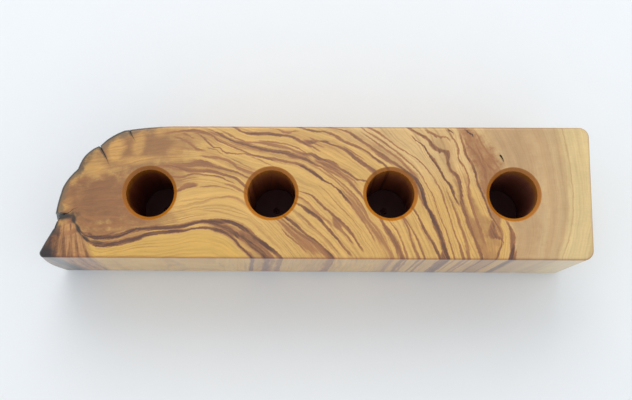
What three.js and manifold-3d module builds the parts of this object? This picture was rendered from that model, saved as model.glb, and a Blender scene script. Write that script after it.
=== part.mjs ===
// Dip pen holder: a solid bar of figured wood with four chamfered pen bores,
// one natural live edge, and four felt pads under it.
//
// Units are millimetres and +Z is up. The origin is on the desk plane, under the middle of the
// object. +X runs along the row of bores, away from the live edge, and -Y is the front.

import * as THREE from 'three';
import { mergeVertices } from 'three/addons/utils/BufferGeometryUtils.js';
import Module from 'manifold-3d';

const wasm = await Module();
wasm.setup();

// ---- driving dimensions ----

const LENGTH = 200;
const DEPTH = 48;
const BLOCK_HEIGHT = 48;

const EDGE_ROUND = 1.2;
const CORNER_RADIUS = 3.6;
const TIP_RADIUS = 1.6;
const TIP_TURN = THREE.MathUtils.degToRad(25);

const BORE_DIAMETER = 17.2;
const BORE_DEPTH = 40;
const BORE_CHAMFER = 1.2;
const BORE_ROW_Y = -0.6;
const BORE_X = [-57.4, -14.0, 28.5, 72.3];
const SPUR_RADIUS = 1.3;
const SPUR_DEPTH = 1.5;

// Below the top face the live edge leans out to the left. It stands out furthest at FLARE_PEAK,
// a share of the way down. The lean grows from nothing over the first lobes at the back.
const FLARE = 4.3;
const FLARE_PEAK = 0.73;
const LEANING_IN_LOBES = 2;

// The surface of the live edge swells and dips by up to RIPPLE, in a few waves down it and across
// it. The ripple fades in over two shares of the depth, so the front tip is left plain.
const RIPPLE = 0.45;
const RIPPLE_WAVES_DOWN = 1.7;
const RIPPLE_WAVES_ACROSS = 1.3;
const RIPPLE_FADE = [0.05, 0.22];

const FOOT_DIAMETER = 14;
const FOOT_THICKNESS = 2;
const FOOT_EDGE_ROUND = 0.5;

// ---- places that follow from them ----

const RIGHT = LENGTH / 2;
const LEFT = -LENGTH / 2;
const FRONT = -DEPTH / 2;
const BACK = DEPTH / 2;
const BOTTOM = FOOT_THICKNESS;
const TOP = BOTTOM + BLOCK_HEIGHT;
const TIP_X = LEFT + FLARE;
const QUARTER = Math.PI / 2;

// The live edge just under the top face, from its end in the back face round to the front tip: a
// chain of shallow lobes. Each lobe ends at a point and swells outwards from its chord by a bulge.
const LIVE_EDGE_START = [TIP_X + 48, BACK];
const LIVE_EDGE_LOBES = [
  { end: [TIP_X + 28.4, BACK - 1.6], bulge: 0.4 },
  { end: [TIP_X + 20.0, BACK - 7.1], bulge: 0.6 },
  { end: [TIP_X + 12.2, BACK - 15.8], bulge: 1.5 },
  { end: [TIP_X + 7.1, BACK - 22.6], bulge: 0.4 },
  { end: [TIP_X + 4.4, FRONT + 10.3], bulge: 0.5 },
  {
    end: [TIP_X + TIP_RADIUS * (1 - Math.cos(TIP_TURN)), FRONT + TIP_RADIUS * (1 + Math.sin(TIP_TURN))],
    bulge: 0.1,
  },
];

// The crevice: a crescent-shaped gap where the growth of the tree closed over itself. It is
// widest at the top face and runs down the live edge to a point.
const CREVICE_DEPTH = 30;
const CREVICE_MOUTH = [
  [TIP_X, FRONT + 9.6],
  [TIP_X + 4.8, FRONT + 10.2],
  [TIP_X + 5.8, FRONT + 12.8],
  [TIP_X + 7.0, FRONT + 14.6],
  [TIP_X + 9.4, FRONT + 15.8],
  [TIP_X + 7.2, FRONT + 16.1],
  [TIP_X + 5.4, FRONT + 16.1],
  [TIP_X, FRONT + 15.8],
];
const CREVICE_POINT = [TIP_X - 2, FRONT + 12.5];

// The notch: a small natural pocket in the right front corner.
const NOTCH_SIZE = [3.4, 3.0, 5.2];
const NOTCH_TILT = THREE.MathUtils.degToRad(18);
const NOTCH_HEIGHT = BOTTOM + 17;

const FOOT_PLACES = {
  foot_front_left: [-83, -13],
  foot_rear_left: [-62, 13],
  foot_front_right: [87, -13],
  foot_rear_right: [87, 13],
};

// Facet counts.
const LOBE_STEPS = 7;
const CORNER_STEPS = 7;
const TIP_STEPS = 4;
const SIDE_STEPS = 14;
const ROUND_STEPS = 3;
const BORE_FACETS = 56;
const NOTCH_FACETS = [14, 10];
const FOOT_FACETS = 40;
const RIM_STEPS = 4;

// Cutters stand this far clear of the top face, and corners this close together are one corner.
const CLEAR = 1;
const MERGE_DISTANCE = 1e-4;

// ---- materials ----

function woodMaterial() {
  return new THREE.MeshStandardMaterial({ color: 0xb98a55, roughness: 0.5, metalness: 0 });
}

function feltMaterial() {
  return new THREE.MeshStandardMaterial({ color: 0x3d3630, roughness: 0.95, metalness: 0 });
}

// ---- solids to cut with, and back again ----

// A closed solid from a geometry: its shared corners are merged, and the slivers that a lathe
// leaves on its axis are dropped.
function solidFrom(geometry) {
  const bare = geometry.clone();
  bare.deleteAttribute('normal');
  bare.deleteAttribute('uv');
  const merged = mergeVertices(bare, MERGE_DISTANCE);
  const corners = merged.index.array;
  const triVerts = [];
  for (let i = 0; i < corners.length; i += 3) {
    const [a, b, c] = corners.slice(i, i + 3);
    if (a !== b && b !== c && c !== a) triVerts.push(a, b, c);
  }
  return new wasm.Manifold(new wasm.Mesh({
    numProp: 3,
    vertProperties: new Float32Array(merged.attributes.position.array),
    triVerts: new Uint32Array(triVerts),
  }));
}

function geometryFrom(solid) {
  const mesh = solid.getMesh();
  const geometry = new THREE.BufferGeometry();
  geometry.setAttribute('position', new THREE.BufferAttribute(mesh.vertProperties, 3));
  geometry.setIndex(new THREE.BufferAttribute(mesh.triVerts, 1));
  geometry.computeVertexNormals();
  return geometry;
}

// ---- the bar ----

// Points of a round corner of the outline, anticlockwise from one angle to another.
function cornerPoints(x, y, radius, from, to, steps) {
  return new THREE.EllipseCurve(x, y, radius, radius, from, to).getPoints(steps);
}

// Points of the live edge, without its last one, which belongs to the tip's round corner.
function liveEdgePoints() {
  const points = [];
  let start = new THREE.Vector2(...LIVE_EDGE_START);
  LIVE_EDGE_LOBES.forEach(({ end, bulge }) => {
    const finish = new THREE.Vector2(...end);
    const along = finish.clone().sub(start).normalize();
    const outwards = new THREE.Vector2(along.y, -along.x);
    const control = start.clone().add(finish).multiplyScalar(0.5).addScaledVector(outwards, 2 * bulge);
    const lobe = new THREE.QuadraticBezierCurve(start, control, finish).getPoints(LOBE_STEPS);
    points.push(...lobe.slice(0, -1));
    start = finish;
  });
  return points;
}

// The bar's outline just under the top face, anticlockwise from the front tip. Each point says
// how much of the live edge's lean it takes: 0 on the sawn faces, 1 on the live edge.
function outline() {
  const radius = CORNER_RADIUS;
  const [tipX, tipY] = [TIP_X + TIP_RADIUS, FRONT + TIP_RADIUS];
  const tipSide = cornerPoints(tipX, tipY, TIP_RADIUS, 2 * QUARTER - TIP_TURN, 2 * QUARTER, 1);
  const tipFront = cornerPoints(tipX, tipY, TIP_RADIUS, 2 * QUARTER, 3 * QUARTER, TIP_STEPS);
  const frontCorner = cornerPoints(RIGHT - radius, FRONT + radius, radius, -QUARTER, 0, CORNER_STEPS);
  const backCorner = cornerPoints(RIGHT - radius, BACK - radius, radius, 0, QUARTER, CORNER_STEPS);
  const live = liveEdgePoints();

  const points = [];
  points.push({ x: tipSide[0].x, y: tipSide[0].y, lean: 1 });
  tipFront.forEach((p) => points.push({ x: p.x, y: p.y, lean: 1 }));
  frontCorner.forEach((p) => points.push({ x: p.x, y: p.y, lean: 0 }));
  backCorner.forEach((p) => points.push({ x: p.x, y: p.y, lean: 0 }));
  const leaningIn = LEANING_IN_LOBES * LOBE_STEPS;
  live.forEach((p, i) => points.push({ x: p.x, y: p.y, lean: Math.min(1, i / leaningIn) }));
  return points;
}

// The outward normal at each point of the outline. The long sawn faces keep their own.
function outlineNormals(points) {
  const count = points.length;
  return points.map((p, i) => {
    if (p.y === FRONT) return new THREE.Vector2(0, -1);
    if (p.y === BACK) return new THREE.Vector2(0, 1);
    const before = points[(i + count - 1) % count];
    const after = points[(i + 1) % count];
    return new THREE.Vector2(after.y - before.y, before.x - after.x).normalize();
  });
}

// The bar's levels from the bottom up, each with the inset of its rounded edge.
function levels() {
  const list = [];
  for (let i = 0; i <= ROUND_STEPS; i += 1) {
    const angle = (QUARTER * i) / ROUND_STEPS;
    list.push({ z: BOTTOM + EDGE_ROUND * (1 - Math.cos(angle)), inset: EDGE_ROUND * (1 - Math.sin(angle)) });
  }
  const low = BOTTOM + EDGE_ROUND;
  const high = TOP - EDGE_ROUND;
  for (let i = 1; i < SIDE_STEPS; i += 1) {
    list.push({ z: low + ((high - low) * i) / SIDE_STEPS, inset: 0 });
  }
  for (let i = 0; i <= ROUND_STEPS; i += 1) {
    const angle = (QUARTER * i) / ROUND_STEPS;
    list.push({ z: high + EDGE_ROUND * Math.sin(angle), inset: EDGE_ROUND * (1 - Math.cos(angle)) });
  }
  return list;
}

// How far the live edge stands to the left of its line at the top, at a height and a depth.
function leanAt(z, y) {
  const drop = (TOP - z) / BLOCK_HEIGHT;
  const across = (y - FRONT) / DEPTH;
  const waves = RIPPLE_WAVES_DOWN * drop + RIPPLE_WAVES_ACROSS * across;
  const swell = 1 + Math.sin(2 * Math.PI * waves);
  const midway = 4 * drop * (1 - drop);
  const fade = THREE.MathUtils.clamp(THREE.MathUtils.inverseLerp(...RIPPLE_FADE, across), 0, 1);
  return FLARE * Math.sin((QUARTER * drop) / FLARE_PEAK) - RIPPLE * midway * fade * swell;
}

function barGeometry() {
  const points = outline();
  const normals = outlineNormals(points);
  const rings = levels();
  const count = points.length;
  const positions = [];
  rings.forEach(({ z, inset }) => {
    points.forEach((p, i) => {
      const x = p.x - inset * normals[i].x - p.lean * leanAt(z, p.y);
      const y = p.y - inset * normals[i].y;
      positions.push(x, y, z);
    });
  });

  const triangles = [];
  for (let level = 0; level + 1 < rings.length; level += 1) {
    for (let i = 0; i < count; i += 1) {
      const next = (i + 1) % count;
      const a = level * count + i;
      const b = level * count + next;
      triangles.push(a, b, b + count, a, b + count, a + count);
    }
  }
  const capAt = (level) => {
    const start = level * count;
    const ring = points.map((_, i) => {
      const at = 3 * (start + i);
      return new THREE.Vector2(positions[at], positions[at + 1]);
    });
    return THREE.ShapeUtils.triangulateShape(ring, []).map((face) => face.map((i) => start + i));
  };
  capAt(0).forEach(([a, b, c]) => triangles.push(a, c, b));
  capAt(rings.length - 1).forEach(([a, b, c]) => triangles.push(a, b, c));

  const geometry = new THREE.BufferGeometry();
  geometry.setAttribute('position', new THREE.Float32BufferAttribute(positions, 3));
  geometry.setIndex(triangles);
  return geometry;
}

// ---- what is cut out of the bar ----

// A flat-bottomed blind bore with the dimple of the bit's centre spur and a chamfered mouth.
function boreCutter(x) {
  const radius = BORE_DIAMETER / 2;
  const floor = TOP - BORE_DEPTH;
  const profile = [
    new THREE.Vector2(0, floor - SPUR_DEPTH),
    new THREE.Vector2(SPUR_RADIUS, floor),
    new THREE.Vector2(radius, floor),
    new THREE.Vector2(radius, TOP - BORE_CHAMFER),
    new THREE.Vector2(radius + BORE_CHAMFER + CLEAR, TOP + CLEAR),
    new THREE.Vector2(0, TOP + CLEAR),
  ];
  const geometry = new THREE.LatheGeometry(profile, BORE_FACETS);
  geometry.rotateX(QUARTER);
  geometry.translate(x, BORE_ROW_Y, 0);
  return solidFrom(geometry);
}

// The crevice is a pyramid on its point: its base is the mouth, raised clear of the top face.
function creviceCutter() {
  const rise = (CREVICE_DEPTH + CLEAR) / CREVICE_DEPTH;
  const [pointX, pointY] = CREVICE_POINT;
  const positions = [];
  CREVICE_MOUTH.forEach(([x, y]) => {
    positions.push(pointX + (x - pointX) * rise, pointY + (y - pointY) * rise, TOP + CLEAR);
  });
  positions.push(pointX, pointY, TOP - CREVICE_DEPTH);
  const count = CREVICE_MOUTH.length;
  const mouth = CREVICE_MOUTH.map(([x, y]) => new THREE.Vector2(x, y));
  const triangles = THREE.ShapeUtils.triangulateShape(mouth, []).flat();
  for (let i = 0; i < count; i += 1) {
    triangles.push((i + 1) % count, i, count);
  }
  const geometry = new THREE.BufferGeometry();
  geometry.setAttribute('position', new THREE.Float32BufferAttribute(positions, 3));
  geometry.setIndex(triangles);
  return solidFrom(geometry);
}

// The notch is a tall, narrow ellipsoid sunk into the rounded corner.
function notchCutter() {
  const geometry = new THREE.SphereGeometry(1 / 2, ...NOTCH_FACETS);
  geometry.scale(...NOTCH_SIZE);
  geometry.rotateX(NOTCH_TILT);
  const cornerPoint = CORNER_RADIUS * Math.SQRT1_2;
  geometry.translate(RIGHT - CORNER_RADIUS + cornerPoint, FRONT + CORNER_RADIUS - cornerPoint, NOTCH_HEIGHT);
  return solidFrom(geometry);
}

// ---- the pieces ----

function block() {
  let solid = solidFrom(barGeometry());
  BORE_X.forEach((x) => { solid = solid.subtract(boreCutter(x)); });
  solid = solid.subtract(creviceCutter());
  solid = solid.subtract(notchCutter());
  const mesh = new THREE.Mesh(geometryFrom(solid), woodMaterial());
  mesh.name = 'block';
  return mesh;
}

// A round pad lying on the desk, with its lower rim slightly rounded.
function foot(name, [x, y]) {
  const radius = FOOT_DIAMETER / 2;
  const rim = new THREE.Path();
  rim.moveTo(0, 0);
  rim.lineTo(radius - FOOT_EDGE_ROUND, 0);
  rim.absarc(radius - FOOT_EDGE_ROUND, FOOT_EDGE_ROUND, FOOT_EDGE_ROUND, -QUARTER, 0, false);
  rim.lineTo(radius, FOOT_THICKNESS);
  rim.lineTo(0, FOOT_THICKNESS);
  const geometry = new THREE.LatheGeometry(rim.getPoints(RIM_STEPS), FOOT_FACETS);
  geometry.rotateX(QUARTER);
  const mesh = new THREE.Mesh(geometry, feltMaterial());
  mesh.position.set(x, y, 0);
  mesh.name = name;
  return mesh;
}

const penHolder = new THREE.Group();
penHolder.add(block());
Object.entries(FOOT_PLACES).forEach(([name, place]) => penHolder.add(foot(name, place)));

export default penHolder;
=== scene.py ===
"""A dip pen holder: a slab of live-edge olive wood with four bores, on four felt feet.

Lengths are in millimetres in the shared frame until a mesh or a node needs metres.
"""

import math

import bmesh
import bpy
from mathutils import Euler, Matrix, Vector, noise


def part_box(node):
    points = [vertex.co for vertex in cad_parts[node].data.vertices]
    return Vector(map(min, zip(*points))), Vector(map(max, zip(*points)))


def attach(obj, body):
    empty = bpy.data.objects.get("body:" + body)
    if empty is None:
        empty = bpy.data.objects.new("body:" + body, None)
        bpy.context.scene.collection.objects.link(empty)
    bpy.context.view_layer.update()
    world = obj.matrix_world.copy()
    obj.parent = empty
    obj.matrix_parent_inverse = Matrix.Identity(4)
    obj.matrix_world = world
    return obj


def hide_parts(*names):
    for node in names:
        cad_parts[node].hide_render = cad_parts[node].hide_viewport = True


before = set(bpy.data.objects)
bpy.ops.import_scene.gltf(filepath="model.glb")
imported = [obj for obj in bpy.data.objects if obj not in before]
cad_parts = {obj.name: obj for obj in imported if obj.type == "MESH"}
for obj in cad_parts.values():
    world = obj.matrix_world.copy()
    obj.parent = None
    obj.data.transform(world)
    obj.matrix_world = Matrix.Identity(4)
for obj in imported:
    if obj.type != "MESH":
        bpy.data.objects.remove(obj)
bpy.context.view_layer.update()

MM = 0.001

# ---------------------------------------------------------------- driving sizes, and places from the frame

LENGTH = 200.0
BLOCK_LOW, BLOCK_HIGH = (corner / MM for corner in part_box("block"))
RIGHT = BLOCK_HIGH.x
LEFT = RIGHT - LENGTH
FRONT = BLOCK_LOW.y
BACK = BLOCK_HIGH.y
BOTTOM = BLOCK_LOW.z
TOP = BLOCK_HIGH.z
DEPTH = BACK - FRONT
HEIGHT = TOP - BOTTOM

EDGE_ROUND = 1.2
CORNER_RADIUS = 3.6
TIP_RADIUS = 1.6
TIP_TURN = math.radians(25)

BORE_RADIUS = 8.6
BORE_DEPTH = 40.0
BORE_CHAMFER = 1.2
BORE_Y = FRONT + 23.4
BORE_X = [RIGHT - 157.4, RIGHT - 114.0, RIGHT - 71.5, RIGHT - 27.7]
SPUR_RADIUS = 1.3
SPUR_DEPTH = 1.5

# the live edge leans further out on the way down, with a slight ripple in it
FLARE = 4.3
FLARE_PEAK = 0.73
RIPPLE = 0.45
RIPPLE_WAVES_DOWN = 1.7
RIPPLE_WAVES_ACROSS = 1.3
RIPPLE_START = 0.05
RIPPLE_RISE = 6.0

TIP_X = LEFT + FLARE
FOOT_ROUND = 0.5
FEET = [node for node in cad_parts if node.startswith("foot")]


# ---------------------------------------------------------------- small helpers

def lerp(a, b, t):
    return a + (b - a) * t


def clamp(value, low=0.0, high=1.0):
    return max(low, min(high, value))


def smooth(t):
    t = clamp(t)
    return t * t * (3 - 2 * t)


def new_object(name, bm):
    """A mesh object from a bmesh that is in millimetres."""
    bmesh.ops.scale(bm, vec=(MM, MM, MM), verts=bm.verts)
    mesh = bpy.data.meshes.new(name)
    bm.to_mesh(mesh)
    bm.free()
    thing = bpy.data.objects.new(name, mesh)
    bpy.context.scene.collection.objects.link(thing)
    return thing


def loft(bm, rings):
    """Closed body through rings of equal length, each anticlockwise seen from above, highest first."""
    made = []
    for ring in rings:
        made.append([bm.verts.new(point) for point in ring])
    count = len(rings[0])
    for upper, lower in zip(made[:-1], made[1:]):
        for i in range(count):
            j = (i + 1) % count
            bm.faces.new((upper[i], lower[i], lower[j], upper[j]))
    bm.faces.new(made[0])
    bm.faces.new(list(reversed(made[-1])))


# ---------------------------------------------------------------- the block's outline

def arc(cx, cy, radius, start, end, steps):
    turns = [lerp(start, end, i / steps) for i in range(steps + 1)]
    return [(cx + radius * math.cos(a), cy + radius * math.sin(a)) for a in turns]


# where each lobe of the live edge ends, and how far the lobe bulges out of its chord
LOBES = [
    ((TIP_X + 28.4, BACK - 1.6), 0.4),
    ((TIP_X + 20.0, BACK - 7.1), 0.6),
    ((TIP_X + 12.2, BACK - 15.8), 1.5),
    ((TIP_X + 7.1, BACK - 22.6), 0.4),
    ((TIP_X + 4.4, FRONT + 10.3), 0.5),
    ((TIP_X + TIP_RADIUS * (1 - math.cos(TIP_TURN)), FRONT + TIP_RADIUS * (1 + math.sin(TIP_TURN))), 0.1),
]
LIVE_START = (TIP_X + 48.0, BACK)
LIVE_SPACING = 0.3


def live_edge():
    """The live edge from the back face round to the tip, as evenly spaced points."""
    points = []
    start = Vector(LIVE_START)
    for end, bulge in LOBES:
        end = Vector(end)
        chord = end - start
        out = Vector((chord.y, -chord.x)).normalized()
        control = (start + end) / 2 + out * 2 * bulge
        steps = max(4, round(chord.length / LIVE_SPACING))
        for i in range(steps):
            t = i / steps
            points.append(start * (1 - t) ** 2 + control * 2 * t * (1 - t) + end * t * t)
        start = end
    return [tuple(p) for p in points]


def block_outline():
    """Points just under the top face, anticlockwise from the tip, and how live each one is (0 to 1)."""
    quarter = math.pi / 2
    tip = arc(TIP_X + TIP_RADIUS, FRONT + TIP_RADIUS, TIP_RADIUS, math.pi - TIP_TURN, 3 * quarter, 14)
    front = arc(RIGHT - CORNER_RADIUS, FRONT + CORNER_RADIUS, CORNER_RADIUS, -quarter, 0, 14)
    rear = arc(RIGHT - CORNER_RADIUS, BACK - CORNER_RADIUS, CORNER_RADIUS, 0, quarter, 14)
    live = live_edge()
    points = tip + front + rear + live
    fade = 14.0 / LIVE_SPACING
    liveness = [1.0] * len(tip) + [0.0] * (len(front) + len(rear))
    liveness += [clamp(i / fade) for i in range(len(live))]
    return points, liveness


def outward_normals(points, reach=3):
    """Unit normals of a closed outline, averaged over a few neighbours so that lobes meet softly."""
    count = len(points)
    raw = []
    for i in range(count):
        before = Vector(points[i - 1])
        after = Vector(points[(i + 1) % count])
        along = after - before
        raw.append(Vector((along.y, -along.x)).normalized())
    smoothed = []
    for i in range(count):
        total = raw[i] * 2
        for step in range(1, reach + 1):
            for j in (i - step, (i + step) % count):
                near = (Vector(points[i]) - Vector(points[j])).length < 2.0
                if near:
                    total = total + raw[j] * (1 - step / (reach + 1))
        smoothed.append(total.normalized())
    return smoothed


def lean_at(z, y):
    """How far the live edge stands further left at a height, the flare of the trunk with its ripple."""
    drop = (TOP - z) / HEIGHT
    across = (y - FRONT) / DEPTH
    swell = 1 + math.sin(2 * math.pi * (RIPPLE_WAVES_DOWN * drop + RIPPLE_WAVES_ACROSS * across))
    inside = 4 * drop * (1 - drop) * clamp(RIPPLE_RISE * (across - RIPPLE_START))
    return FLARE * math.sin(math.pi / 2 * drop / FLARE_PEAK) - RIPPLE * inside * swell


def furrow(x, y, z, along):
    """Depth of the bark-side furrows: long upright grooves with finer ones between them."""
    drop = TOP - z
    broad = noise.noise(Vector((along / 3.4, drop / 38.0, 3.1)))
    fine = noise.noise(Vector((along / 1.25 + broad * 0.6, drop / 21.0, 9.7)))
    knots = noise.noise(Vector((x / 9.0, y / 9.0, z / 11.0)))
    return 0.26 * (0.5 + 0.5 * broad) + 0.17 * abs(fine) + 0.16 * (0.5 + 0.5 * knots)


def block_levels(steps=6, wall_steps=34):
    """Heights and insets of the rings, from the top face down to the underside."""
    turns = [math.pi / 2 * i / steps for i in range(steps + 1)]
    top_round = [(TOP - EDGE_ROUND * (1 - math.cos(a)), EDGE_ROUND * (1 - math.sin(a))) for a in turns]
    bottom_round = [(TOP + BOTTOM - z, inset) for z, inset in reversed(top_round)]
    wall_top = TOP - EDGE_ROUND
    wall_bottom = BOTTOM + EDGE_ROUND
    wall = [(lerp(wall_top, wall_bottom, i / wall_steps), 0.0) for i in range(1, wall_steps)]
    return top_round + wall + bottom_round


def block_body():
    """The block before it is cut, with its live edge."""
    points, liveness = block_outline()
    normals = outward_normals(points)
    along = [0.0]
    for i in range(1, len(points)):
        along.append(along[-1] + (Vector(points[i]) - Vector(points[i - 1])).length)
    rings = []
    for z, inset in block_levels():
        ring = []
        edge_fade = smooth((TOP - z) / 5.0) * smooth((z - BOTTOM) / 3.0)
        for (x, y), normal, live, s in zip(points, normals, liveness, along):
            step_in = inset + furrow(x, y, z, s) * live * lerp(0.25, 1.0, edge_fade)
            shift = live * lean_at(z, y)
            ring.append((x - normal.x * step_in - shift, y - normal.y * step_in, z))
        rings.append(ring)
    bm = bmesh.new()
    loft(bm, rings)
    return new_object("wood_block", bm)


# ---------------------------------------------------------------- what is cut out of the block

def bore_profile():
    """Radius and height down a bore: mouth, chamfer, bored wall with faint tool rings, floor and spur."""
    above = 2.0
    profile = [(BORE_RADIUS + BORE_CHAMFER + above, TOP + above)]
    profile.append((BORE_RADIUS + BORE_CHAMFER, TOP))
    profile.append((BORE_RADIUS, TOP - BORE_CHAMFER))
    steps = 44
    for i in range(1, steps):
        z = lerp(TOP - BORE_CHAMFER, TOP - BORE_DEPTH, i / steps)
        profile.append((BORE_RADIUS + 0.03 * math.sin(2.4 * z) * math.sin(0.37 * z), z))
    profile.append((BORE_RADIUS, TOP - BORE_DEPTH))
    profile.append((SPUR_RADIUS, TOP - BORE_DEPTH))
    profile.append((0.12, TOP - BORE_DEPTH - SPUR_DEPTH))
    return profile


def add_bore(bm, x, sides=96):
    turns = [2 * math.pi * i / sides for i in range(sides)]
    rings = []
    for radius, z in bore_profile():
        rings.append([(x + radius * math.cos(a), BORE_Y + radius * math.sin(a), z) for a in turns])
    loft(bm, rings)


CREVICE_MOUTH = [
    (TIP_X, FRONT + 9.6),
    (TIP_X + 4.8, FRONT + 10.2),
    (TIP_X + 5.8, FRONT + 12.8),
    (TIP_X + 7.0, FRONT + 14.6),
    (TIP_X + 9.4, FRONT + 15.8),
    (TIP_X + 7.2, FRONT + 16.1),
    (TIP_X + 5.4, FRONT + 16.1),
    (TIP_X, FRONT + 15.8),
]
CREVICE_FOOT = (TIP_X - 2.0, FRONT + 12.5)
CREVICE_DEPTH = 30.0


def add_crevice(bm, steps=16):
    """The deep fold in the live edge: a ragged pyramid that narrows downwards."""
    above = 1.0
    rings = []
    for i in range(steps):
        t = lerp(-above / CREVICE_DEPTH, 0.97, i / (steps - 1))
        ring = []
        for k, place in enumerate(CREVICE_MOUTH):
            point = Vector(place).lerp(Vector(CREVICE_FOOT), t)
            sway = 0.5 * noise.noise(Vector((k * 2.7, t * 9.0, 4.0))) * clamp(t * 8)
            ring.append((point.x + sway, point.y + 0.6 * sway, TOP - CREVICE_DEPTH * t))
        rings.append(ring)
    loft(bm, rings)


def add_crack(bm, path, width, depth):
    """A drying crack: a thin wedge along a path on the top face, widest and deepest at its start."""
    above = 1.0
    levels = [(-above, 1.0), (0.0, 1.0), (0.3, 0.75), (0.65, 0.4), (1.0, 0.06)]
    places = [Vector(p) for p in path]
    steps = len(places) - 1
    rings = []
    for sink, narrow in levels:
        left = []
        right = []
        for i, place in enumerate(places):
            t = i / steps
            ahead = places[min(i + 1, steps)] - places[max(i - 1, 0)]
            side = Vector((-ahead.y, ahead.x)).normalized()
            half = width / 2 * narrow * lerp(1.0, 0.12, t ** 0.7)
            drop = max(sink, 0) * depth * lerp(1.0, 0.15, t) - min(sink, 0)
            height = TOP - drop if sink > 0 else TOP - sink
            left.append((place.x + side.x * half, place.y + side.y * half, height))
            right.append((place.x - side.x * half, place.y - side.y * half, height))
        rings.append(right + left[::-1])
    loft(bm, rings)


# each crack's path, width and depth
CRACKS = [
    ([(-76.3, 16.9), (-75.7, 16.0), (-74.6, 14.2), (-73.2, 11.6), (-72.4, 9.8)], 0.5, 5.0),
    ([(-66.3, 24.0), (-65.6, 22.6), (-64.6, 20.6), (-63.0, 18.0)], 0.42, 4.0),
    ([(67.7, 13.6), (68.3, 12.9), (68.8, 11.9), (69.0, 11.0)], 0.75, 1.6),
    ([(-87.2, -8.6), (-86.0, -8.0), (-84.3, -6.7), (-82.7, -6.0)], 0.3, 6.0),
]
NOTCH_SIZE = (1.7, 1.5, 2.6)
NOTCH_TILT = math.radians(18)
NOTCH_REACH = CORNER_RADIUS * (1 - math.sqrt(0.5))
NOTCH_PLACE = Vector((RIGHT - NOTCH_REACH, FRONT + NOTCH_REACH, BOTTOM + 17))


def add_notch(bm):
    """A small pocket in the right front corner."""
    matrix = Matrix.Translation(NOTCH_PLACE) @ Matrix.Rotation(NOTCH_TILT, 4, "X")
    matrix = matrix @ Matrix.Diagonal((*NOTCH_SIZE, 1.0))
    ball = bmesh.ops.create_uvsphere(bm, u_segments=28, v_segments=20, radius=1.0, matrix=matrix)
    for vert in ball["verts"]:
        vert.co += vert.co.normalized() * 0.25 * noise.noise(vert.co * 1.1)


def cutters():
    bm = bmesh.new()
    for x in BORE_X:
        add_bore(bm, x)
    add_crevice(bm)
    for path, width, depth in CRACKS:
        add_crack(bm, path, width, depth)
    add_notch(bm)
    bmesh.ops.recalc_face_normals(bm, faces=bm.faces)
    return new_object("cutters", bm)


def finished(thing):
    """Bakes a thing's modifiers into its mesh."""
    bpy.context.view_layer.update()
    graph = bpy.context.evaluated_depsgraph_get()
    mesh = bpy.data.meshes.new_from_object(thing.evaluated_get(graph))
    thing.modifiers.clear()
    old = thing.data
    thing.data = mesh
    bpy.data.meshes.remove(old)
    mesh.name = thing.name


def wood_block():
    block = block_body()
    tools = cutters()
    cut = block.modifiers.new("cut", "BOOLEAN")
    cut.operation = "DIFFERENCE"
    cut.solver = "MANIFOLD"
    cut.object = tools
    finished(block)
    bpy.data.objects.remove(tools)
    block.data.shade_smooth()
    block.data.set_sharp_from_angle(angle=math.radians(32))
    weight = block.modifiers.new("normals", "WEIGHTED_NORMAL")
    weight.keep_sharp = True
    finished(block)
    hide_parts("block")
    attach(block, "root")
    return block


# ---------------------------------------------------------------- the felt feet

def felt_foot(node):
    """A die-cut felt disc with a soft rim and a slightly matted surface."""
    low, high = (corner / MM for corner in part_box(node))
    centre = (low + high) / 2
    radius = (high.x - low.x) / 2
    rim = FOOT_ROUND
    sides = 120
    profile = [(radius * i / 14 * 0.98, high.z) for i in range(1, 14)]
    turns = [math.pi / 2 * i / 6 for i in range(7)]
    profile += [(radius - rim + rim * math.sin(a), high.z - rim + rim * math.cos(a)) for a in turns]
    profile += [(radius - rim + rim * math.cos(a), low.z + rim - rim * math.sin(a)) for a in turns]
    profile += [(radius * i / 14 * 0.98, low.z) for i in range(13, 0, -1)]
    rings = []
    for r, z in profile:
        ring = []
        for k in range(sides):
            a = 2 * math.pi * k / sides
            place = Vector((centre.x + r * math.cos(a), centre.y + r * math.sin(a), z))
            matted = 0.07 * (1 + noise.noise(place * 1.9)) + 0.05 * (1 + noise.noise(place * 4.7))
            pull = clamp(r / radius) * matted
            up = 0.5 * matted * (1 if z < low.z + rim else -1) if low.z + 0.01 < z < high.z - 0.01 else 0
            ring.append((place.x - pull * math.cos(a), place.y - pull * math.sin(a), place.z + up))
        rings.append(ring)
    bm = bmesh.new()
    loft(bm, rings)
    pad = new_object("felt_" + node, bm)
    pad.data.shade_smooth()
    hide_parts(node)
    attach(pad, "root")
    return pad


# ---------------------------------------------------------------- node helpers

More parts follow.
